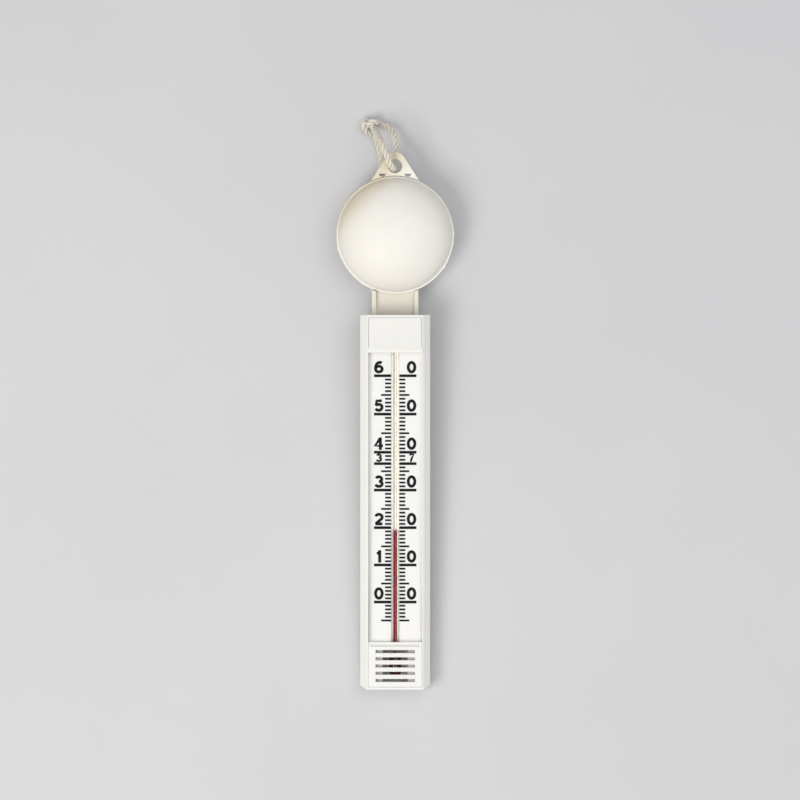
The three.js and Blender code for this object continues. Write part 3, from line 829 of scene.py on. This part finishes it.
def hank_tie():
    """A flat band round the hank, drawn in a little where nothing is under it."""
    low, high = (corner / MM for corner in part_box("hank_tie"))
    wall, rows = 0.55, 7
    dip_depth, dip_width = 0.9, 5.5
    outside = band_outline(high.x, low.z + 0.02, high.z, 2.2)
    inside = band_outline(high.x - wall, low.z + wall, high.z - wall, 1.75)
    count = len(outside)
    points, faces = [], []
    for k in range(rows):
        share = k / (rows - 1)
        y = low.y + (high.y - low.y) * share
        swell = 0.1 * math.cos(math.pi * (share - 0.5))
        for x, z in outside + inside:
            on_top = z > (low.z + high.z) / 2
            dip = dip_depth * math.exp(-((x / dip_width) ** 2)) if on_top else 0.0
            points.append((x * (0.997 + 0.003 * swell), y, z - dip * (0.6 + swell)))
    last = 2 * (rows - 1) * count
    for a in range(0, last, count):
        faces += ring_faces(a, a + 2 * count, count)
    for a in (0, last):
        faces += ring_faces(a, a + count, count)
    band = shade(from_points("band", points, faces), 40)
    return finished(band, "hank_tie_band", BAND, "tie_band", ["hank_tie"], matrix=Matrix.Scale(MM, 4))


def tether():
    """The loop through the eyelet, and the line from its knot to the free end's knot."""
    loop_route = LOOP_ROUTE[::-1]
    line_route = TAIL_ROUTE + hank_points() + END_ROUTE
    cord = Cord(STUB_ROUTE, loop_route, WRAP_ROUTE, line_route, end_knot_points())
    loop = cord.nearest(loop_route[0]), cord.nearest(loop_route[-1])
    line = cord.nearest(line_route[0]), cord.nearest(line_route[-1])
    last = len(cord.line) - 1
    turns = [cord.piece("turn", 0, loop[0]), cord.piece("turn", loop[1], line[0])]
    near_knot = knot("knot_at_loop", "tether_knot", *turns)
    end_knot = knot("knot_at_end", "tether_end_knot", cord.piece("turn", line[1], last))
    tie = hank_tie()
    free_cord("cord_loop", cord, *loop, "loose", ["tether_loop"], [])
    nodes = ["tether_tail", "tether_hank", "tether_end"]
    free_cord("cord_line", cord, *line, "coiled", nodes, [near_knot, end_knot, tie])


camera()
studio()
tether()

# ---- float


def flash(obj):
    """Draws the rim out a little where the moulds let plastic through."""
    rim_from = DOME_RADIUS + 0.4
    for vertex in obj.data.vertices:
        x, y = vertex.co.xy
        radius, angle = math.hypot(x, y), math.degrees(math.atan2(y, x)) % 360
        if radius > rim_from:
            grown = sum(size * math.exp(-(((angle - at) / width) ** 2)) for at, width, size in FLASH)
            vertex.co.x, vertex.co.y = x * (1 + grown / radius), y * (1 + grown / radius)
    return obj


def dome(radius, depth, start, steps):
    """Profile of a flattened dome, from a height above its middle up to its top."""
    first = math.degrees(math.asin(start / depth))
    points = [(r, z * depth / radius) for r, z in arc(0, 0, radius, first, 90, steps)]
    return [*points[:-1], (0.0, depth)]


def half_shell():
    """Front half of the float: a hollow dome with a rounded welding rim."""
    face, edge = GAP / 2, 0.35
    outer = dome(DOME_RADIUS, DOME_DEPTH, RIM_HALF, 44)
    inner = dome(DOME_RADIUS - SHELL_WALL, DOME_DEPTH - SHELL_WALL, face, 24)
    rim = arc(RIM_RADIUS - edge, RIM_HALF - edge, edge, 90, 0, 5) + [(RIM_RADIUS, face)]
    return flash(turned(outer[::-1] + rim + inner, SHELL_SIDES))


def ear_outline():
    rise = math.degrees(math.asin((EAR_TIP["shoulder"] - EAR_TIP["y"]) / EAR_TIP["radius"]))
    tip = arc(0, EAR_TIP["y"], EAR_TIP["radius"], rise, 180 - rise, 32)
    x, y = EAR_BASE
    foot = y - 4
    return [(-x, foot), (x, foot), (x, y), *tip, (-x, y)]


def ear_slot(side):
    """A slot with a flat upper edge and a bowed lower one."""
    x, y = side * EAR_SLOT["x"], EAR_SLOT["y"]
    return [(x + u * EAR_SLOT["half"], y + v * EAR_SLOT["drop"]) for u, v in arc(0, 0, 1, 180, 360, 20)]


def ear():
    eyelet = arc(0, EYELET["y"], EYELET["radius"], 0, 360, 64)[:-1]
    blank = plate([ear_outline(), eyelet, ear_slot(1), ear_slot(-1)], -RIM_HALF, RIM_HALF, EAR_EDGE)
    front = RIM_HALF + CLEAR
    rim_room = disc(0, 0, RIM_RADIUS + GAP, -GAP / 2, front, ROUND_SIDES)
    inside = disc(0, 0, DOME_RADIUS - EAR_ROOT, -front, front, ROUND_SIDES)
    dimple = disc(0, EAR_DIMPLE["y"], EAR_DIMPLE["radius"], RIM_HALF - EAR_DIMPLE["depth"], front, 24)
    return cut(blank, rim_room, inside, dimple)


def float_front_shell():
    shell = shade(half_shell(), 40)
    finished(shell, "float_front", FLOAT_PLASTIC, "float_plastic", ["float_front_shell"])


def float_rear_shell():
    shell = half_shell()
    shell.data.transform(Matrix.Scale(-1, 4, (0, 0, 1)))
    shell.data.flip_normals()
    back = -RIM_HALF - CLEAR
    notch = slab(NECK_HIGH[0] + GAP, (-RIM_RADIUS - CLEAR, 0), (back, 0))
    cut(notch, disc(0, 0, DOME_RADIUS + OVERLAP, back - CLEAR, CLEAR, ROUND_SIDES))
    join(cut(shell, notch), ear())
    shade(shell, 40)
    modified(shell, "WEIGHTED_NORMAL", keep_sharp=True, weight=80)
    finished(shell, "float_rear", FLOAT_PLASTIC, "float_plastic", ["float_rear_shell"])


# ---- neck and casing


def neck():
    low, high = NECK_LOW, NECK_HIGH
    inside = high[0] - NECK_RAIL
    web = -GAP / 2
    section = [
        (low[0], low[2]), (high[0], low[2]), (high[0], high[2]), (inside, high[2]),
        (inside, web), (-inside, web), (-inside, high[2]), (low[0], high[2]),
    ]
    blank = prism(section, low[1], NECK_START, "y")
    wall_room = disc(0, 0, DOME_RADIUS + OVERLAP + GAP, low[2] - CLEAR, NECK_STEP, ROUND_SIDES)
    rim_room = disc(0, 0, RIM_RADIUS + GAP, NECK_STEP, high[2] + CLEAR, ROUND_SIDES)
    soften(cut(blank, wall_room, rim_room), 0.22)
    finished(blank, "neck", SHADED_NECK_PLASTIC, "neck_plastic", ["neck_channel"])


def casing_outline(low, high):
    """The casing from the front: square at the top, with cut corners at the bottom."""
    across, up = CORNER_CUT
    return [
        (low[0], high[1]), (low[0], low[1] + up), (low[0] + across, low[1]),
        (high[0] - across, low[1]), (high[0], low[1] + up), (high[0], high[1]),
    ]


def casing_front():
    low, high = own_box("casing_front")
    section = [
        (low[0], low[2]), (high[0], low[2]), (high[0], BEVEL_START),
        (FRONT_HALF, high[2]), (-FRONT_HALF, high[2]), (low[0], BEVEL_START),
    ]
    shell = prism(section, low[1], high[1], "y")
    across, up = CORNER_CUT
    x, y = high[0] - across, low[1] + up
    beside, below = high[0] + CLEAR, low[1] - CLEAR
    corner = [(high[0], y), (x, low[1]), (x, below), (beside, below), (beside, y)]
    for side in (-1, 1):
        cut(shell, prism([(side * a, b) for a, b in corner], low[2] - CLEAR, high[2] + CLEAR))
    inner = high[0] - SIDE_WALL
    lip = PLATE_FRONT + LIP_LIFT
    top, bottom = high[1] - END_WALL, low[1] + END_WALL
    right = [(inner, top), (inner, y + 0.5), (inner - across + 0.6, bottom)]
    wide = [(-a, b) for a, b in right] + right[::-1]
    narrow = slab(WINDOW_HALF, (bottom, top), (lip - CLEAR, high[2] + CLEAR))
    back = low[2] - CLEAR
    neck_depth = back, NECK_HIGH[2] + GAP
    neck_room = slab(NECK_HIGH[0] + GAP, (top - CLEAR, high[1] + CLEAR), neck_depth)
    cut(shell, prism(wide, back, lip), narrow, neck_room)
    soften(shell, 0.28)
    finished(shell, "casing", CASE_PLASTIC, "case_plastic", ["casing_front"])


def casing_back():
    """Back cover: a sunk field inside a border, the moulding's gate mark, and ribs inside."""
    low, high = own_box("casing_back")
    floor = low[2] + BACK_WALL
    cover = prism(casing_outline(low, high), low[2], floor)
    tongue = NECK_LOW[1] - GAP
    behind = low[2] - CLEAR
    room = slab(NECK_HIGH[0] + GAP, (tongue, high[1] + CLEAR), (behind, floor + CLEAR))
    field = block(
        (low[0] + BACK_FIELD["side"], high[0] - BACK_FIELD["side"]),
        (low[1] + BACK_FIELD["bottom"], tongue - BACK_FIELD["top"]),
        (behind, low[2] + BACK_FIELD["depth"]),
    )
    cut(cover, room, field)
    ribs = []
    for side in (-1, 1):
        x = sorted((side * RIB["inner"], side * RIB["outer"]))
        ribs.append(block(x, (RIB["bottom"], RIB["top"]), (floor - OVERLAP, high[2])))
    half = RIB["inner"] + OVERLAP
    for y in CROSS_RIB["places"]:
        along = (y - CROSS_RIB["half"], y + CROSS_RIB["half"])
        ribs.append(slab(half, along, (floor - OVERLAP, CROSS_RIB["height"])))
    gate_low, gate_high = low[2] + GATE_MARK["low"], low[2] + GATE_MARK["high"]
    gate = disc(0, (low[1] + tongue) / 2, GATE_MARK["radius"], gate_low, gate_high, 40)
    join(cover, *ribs, gate)
    soften(cover, 0.18, 2)
    finished(cover, "casing_back_cover", CASE_PLASTIC, "case_plastic", ["casing_back"])


def cover(low, high, slope):
    """A cover's box: a flat face between sloped sides, with a skirt, open at the back."""
    section = [
        (low[0], low[2]), (high[0], low[2]), (high[0], high[2] - slope),
        (high[0] - slope, high[2]), (low[0] + slope, high[2]), (low[0], high[2] - slope),
    ]
    made = prism(section, low[1], high[1], "y")
    across, along = ((low[k] + COVER_WALL, high[k] - COVER_WALL) for k in (0, 1))
    return cut(made, block(across, along, (low[2] - CLEAR, high[2] - COVER_WALL)))


def cover_box(node):
    """The cover's box, let out to the window's edges and down onto the scale."""
    low, high = own_box(node)
    low[0], high[0] = COVER_SEAM - WINDOW_HALF, WINDOW_HALF - COVER_SEAM
    low[2] = PLATE_FRONT + COVER_LIFT
    return low, high


def tube_notch(y0, y1):
    profile = arc(0, TUBE_Z, TROUGH_RADIUS, 0, 360, 40)[:-1]
    return prism(profile, y0, y1, "y")


def head_panel():
    """The head's cover, with a flared lip over the top of the scale."""
    low, high = cover_box("head_panel")
    high[1] = own_box("casing_front")[1][1] - END_WALL - COVER_SEAM
    made = cut(cover(low, high, 0.55), tube_notch(low[1] - CLEAR, low[1] + TUBE_NOTCH))
    edge, root = low[1] - 0.05, low[1] + 2.6
    front, under = high[2] + 0.32, high[2] - 0.6
    flare = [(root, high[2] - 0.05), (low[1] + 0.9, front), (edge, front), (edge, under), (root, under)]
    soften(join(made, prism(flare, -LIP_HALF, LIP_HALF, "x")), 0.16)
    finished(made, "head_cover", CASE_PLASTIC, "case_plastic", ["head_panel"])


def bulb_grille():
    low, high = cover_box("bulb_grille")
    top = high[1]
    low[1] = own_box("casing_front")[0][1] + END_WALL + COVER_SEAM
    tools = [tube_notch(top - TUBE_NOTCH, top + CLEAR)]
    half_slot = GRILLE_SLOT["height"] / 2
    for i in range(GRILLE_SLOT["count"]):
        y = top - GRILLE_SLOT["below_top"] - i * GRILLE_SLOT["pitch"]
        tools.append(slab(GRILLE_SLOT["half"], (y - half_slot, y + half_slot), (low[2], high[2] + CLEAR)))
    y, half = top - GRILLE_GROOVE["below_top"], GRILLE_GROOVE["height"] / 2
    depth = high[2] - GRILLE_GROOVE["depth"], high[2] + CLEAR
    tools.append(slab(GRILLE_GROOVE["half"], (y - half, y + half), depth))
    made = soften(cut(cover(low, high, 0.3), *tools), 0.14, 2)
    finished(made, "grille", CASE_PLASTIC, "case_plastic", ["bulb_grille"])


# ---- scale


def scale_plate():
    low, high = own_box("scale_plate")
    front, back = PLATE_FRONT, PLATE_FRONT - PLATE_THICKNESS
    outer = TROUGH_RADIUS + TROUGH_WALL
    inner_start = math.degrees(math.asin((front - TUBE_Z) / TROUGH_RADIUS))
    outer_start = math.degrees(math.asin((back - TUBE_Z) / outer))
    trough = arc(0, TUBE_Z, TROUGH_RADIUS, 180 - inner_start, 360 + inner_start, 28)
    under = arc(0, TUBE_Z, outer, 360 + outer_start, 180 - outer_start, 28)
    section = [(low[0], front), *trough, (high[0], front), (high[0], back), *under, (low[0], back)]
    made = prism(section, low[1], high[1], "y")
    cup_low, cup_high = own_box("tube_cushion")
    depth = (0, front + CLEAR)
    across = (cup_low[0] - GAP, cup_high[0] + GAP)
    cushion_room = block(across, (cup_low[1] - GAP, high[1] + CLEAR), depth)
    bulb_room = slab(BULB_SLOT["half"], (low[1] - CLEAR, BULB_SLOT["top"]), depth)
    cut(made, cushion_room, bulb_room)
    shade(made, 25)
    finished(made, "scale", SCALE_PLASTIC, "scale_plastic", ["scale_plate"])


def height_of(reading):
    """Distance along the scale at which a reading in degrees Celsius stands."""
    return ZERO_MARK + MM_PER_DEGREE * reading + MM_PER_DEGREE_SQUARED * reading**2


def pen_edges(points, width, closed):
    """Left and right edge of a pen line of even width."""
    left, right = [], []
    last = len(points) - 1
    for k, (x, y) in enumerate(points):
        ax, ay = points[k - 1 if k or closed else 0]
        bx, by = points[k + 1 if k < last else 0 if closed else last]
        reach = width / 2 / math.hypot(bx - ax, by - ay)
        nx, ny = (ay - by) * reach, (bx - ax) * reach
        left.append((x + nx, y + ny))
        right.append((x - nx, y - ny))
    return left, right


def oval(cx, cy, rx, ry, start, end, steps):
    return [(cx + rx * c, cy + ry * s) for c, s in arc(0, 0, 1, start, end, steps)]


def digit_lines(digit):
    """Pen lines of a digit along the pen's middle, in a box one unit high; straight ends reach past it."""
    w, h, past = 0.31, 1.0, 0.155
    return {
        "0": [oval(0, h / 2, w, h / 2, 0, 360, 40)],
        "1": [[(0.08, -past), (0.08, h + past)], [(0.10, h + 0.06), (0.0, 0.88), (-0.18, 0.78)]],
        "2": [oval(0, 0.70, w, 0.30, 165, -38, 20) + [(-w, 0.0)], [(-w - 0.02, 0.0), (w + 0.02, 0.0)]],
        "3": [oval(0, 0.75, 0.27, 0.25, 160, -88, 20), oval(0, 0.25, w, 0.265, 88, -165, 22)],
        "4": [[(0.14, -past), (0.14, h + past)], [(0.12, h + 0.06), (-0.35, 0.28), (0.38, 0.28)]],
        "5": [[(0.28, h), (-0.20, h), (-0.26, 0.48)], oval(-0.01, 0.315, w, 0.315, 145, -155, 24)],
        "6": [oval(0, 0.30, w, 0.30, 0, 360, 36), oval(0.08, 0.42, 0.39, 0.58, 180, 62, 16)],
        "7": [[(-w, h), (w, h), (0.06, 0.5), (-0.12, -past)]],
    }[digit]


def ring_shape(outer, inner, low, high):
    """The area between two outlines of as many points, given thickness."""
    count = len(outer)
    rings = ((outer, low), (outer, high), (inner, high), (inner, low))
    faces = [face for k in range(4) for face in ring_faces(k * count, (k + 1) % 4 * count, count)]
    return from_points("ring", [(*p, z) for edge, z in rings for p in edge], faces)


def digit(char, x, y, height, pen, ink):
    """A digit standing on y, as flat printed shapes."""
    size = height - pen
    shapes = []
    for line in digit_lines(char):
        points = [(x + px * size * DIGIT_SPREAD, y + pen / 2 + py * size) for px, py in line]
        closed = math.dist(points[0], points[-1]) < 1e-6
        left, right = pen_edges(points[:-1] if closed else points, pen, closed)
        shapes.append(ring_shape(right, left, *ink) if closed else prism(left + right[::-1], *ink))
    return shapes


def scale_print():
    """A mark for every degree, longer at fives and tens, with digits at the tens and 37."""
    ink = PLATE_FRONT + INK_LOW, PLATE_FRONT + INK_HIGH
    shapes = []
    for reading in range(-5, 61):
        y = height_of(reading)
        major = reading % 10 == 0 or reading == BODY_MARK
        reach = MARK_REACH["major" if major else "one" if reading % 5 else "five"]
        half = MARK_WIDTH["major" if major else "minor"] / 2
        for side in (-1, 1):
            shapes.append(block(sorted((side * MARK_START, side * reach)), (y - half, y + half), ink))
        if major:
            height, pen, rise = SMALL_DIGITS if reading == BODY_MARK else DIGITS
            for char, x in zip(f"{reading:02d}", DIGITS_AT):
                shapes += digit(char, x, y + rise, height, pen, ink)
    finished(joined_mesh(shapes), "scale_print", INK)


# ---- tube


def quarter(start=0.0, end=math.pi / 2, steps=10):
    """Sines and cosines of evenly spaced angles."""
    return [(math.sin(a), math.cos(a)) for a in np.linspace(start, end, steps)]


def flared(start, end):
    """Pairs of (radius, distance) from one pair to another, with the radius easing in and out."""
    (r0, y0), (r1, y1) = start, end
    return [(r0 + (r1 - r0) * eased(t), y0 + (y1 - y0) * t) for t in np.linspace(0, 1, 10)]


def tube_piece(profile, name, material, slot, node, sides=32, **riding):
    made = shade(turned(profile, sides, "tube"), 50)
    finished(made, name, material, slot, [node], **riding)
    return made


def glass_tube():
    low, high = own_box("glass_tube")
    end, top = low[1], high[1]
    shoulder = end + SHOULDER
    inside = BULB_RADIUS - BULB_WALL
    nose, tip_edge = 2.6, 0.7
    cap = [(BULB_RADIUS * sin, end + nose - nose * cos) for sin, cos in quarter(NEAR_AXIS, steps=12)]
    neck_out = flared((BULB_RADIUS, shoulder), (STEM_RADIUS, shoulder + 3.2))
    tip = [
        (STEM_RADIUS - tip_edge + tip_edge * cos, top - tip_edge + tip_edge * sin)
        for sin, cos in quarter(steps=7)
    ]
    neck_in = flared((BORE_RADIUS, shoulder + 2.6), (inside, shoulder - 0.8))
    cup = [(inside * cos, end + 3.0 - 2.2 * sin) for sin, cos in quarter(end=math.pi / 2 - NEAR_AXIS)]
    profile = [(0.0, end), *cap, *neck_out, *tip, (BORE_RADIUS, top), *neck_in, *cup, (0.0, end + 0.8)]
    tube_piece(profile, "glass", GLASS, "glass", "glass_tube", sides=48)


def bulb_spirit():
    """Spirit in the bulb and its neck, reaching just into the glass, so that no film of air shows."""
    end = own_box("glass_tube")[0][1]
    foot = own_box("bulb_spirit")[1][1]
    shoulder = end + SHOULDER
    inside = BULB_RADIUS - BULB_WALL + LIQUID_OVERLAP
    cup = [(inside * cos, end + 3.0 - 2.22 * sin) for sin, cos in quarter(math.pi / 2 - NEAR_AXIS, 0)]
    neck_out = flared((inside, shoulder - 0.8), (LIQUID_RADIUS, shoulder + 2.6))
    profile = [(0.0, end + 0.78), *cup, *neck_out, (LIQUID_RADIUS, foot), (0.0, foot)]
    tube_piece(profile, "spirit_in_bulb", DEEP_SPIRIT, "spirit", "bulb_spirit")


def spirit_column():
    """A thread of spirit with a ring at each end, so that it stretches evenly."""
    start = own_box("bulb_spirit")[1][1]
    top = own_box("spirit_meniscus")[0][1] + 0.01
    profile = [(0.0, start), (LIQUID_RADIUS, start), (LIQUID_RADIUS, top), (0.0, top)]
    made = tube_piece(profile, "spirit_thread", SPIRIT, "spirit", "spirit_column", body=None)
    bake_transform(made)


def spirit_meniscus():
    low, high = own_box("spirit_meniscus")
    angles = quarter(end=math.pi / 2 - NEAR_AXIS, steps=8)
    hollow = [(LIQUID_RADIUS * cos, high[1] - MENISCUS_DIP * sin) for sin, cos in angles]
    profile = [(0.0, low[1]), (LIQUID_RADIUS, low[1]), *hollow, (0.0, high[1] - MENISCUS_DIP)]
    tube_piece(profile, "spirit_top_end", SPIRIT, "spirit", "spirit_meniscus", body="spirit_top")


def tube_cushion():
    """A cup over the glass tip, with a rolled lip."""
    low, high = own_box("tube_cushion")
    radius, bore, floor = high[0], 2.2, high[1] - 1.8
    roll = (radius - bore) / 2
    crown_edge = 0.5
    lip = arc(bore + roll, low[1] + roll, roll, -180, 0, 8)
    crown = arc(radius - crown_edge, high[1] - crown_edge, crown_edge, 0, 90, 6)
    made = shade(turned([(0.0, floor), (bore, floor), *lip, *crown, (0.0, high[1])], 40, "tube"), 45)
    finished(made, "tube_end_cup", RUBBER, "soft_rubber", ["tube_cushion"])


float_front_shell()
float_rear_shell()
neck()
casing_front()
casing_back()
head_panel()
bulb_grille()
scale_plate()
scale_print()
glass_tube()
bulb_spirit()
spirit_column()
spirit_meniscus()
tube_cushion()
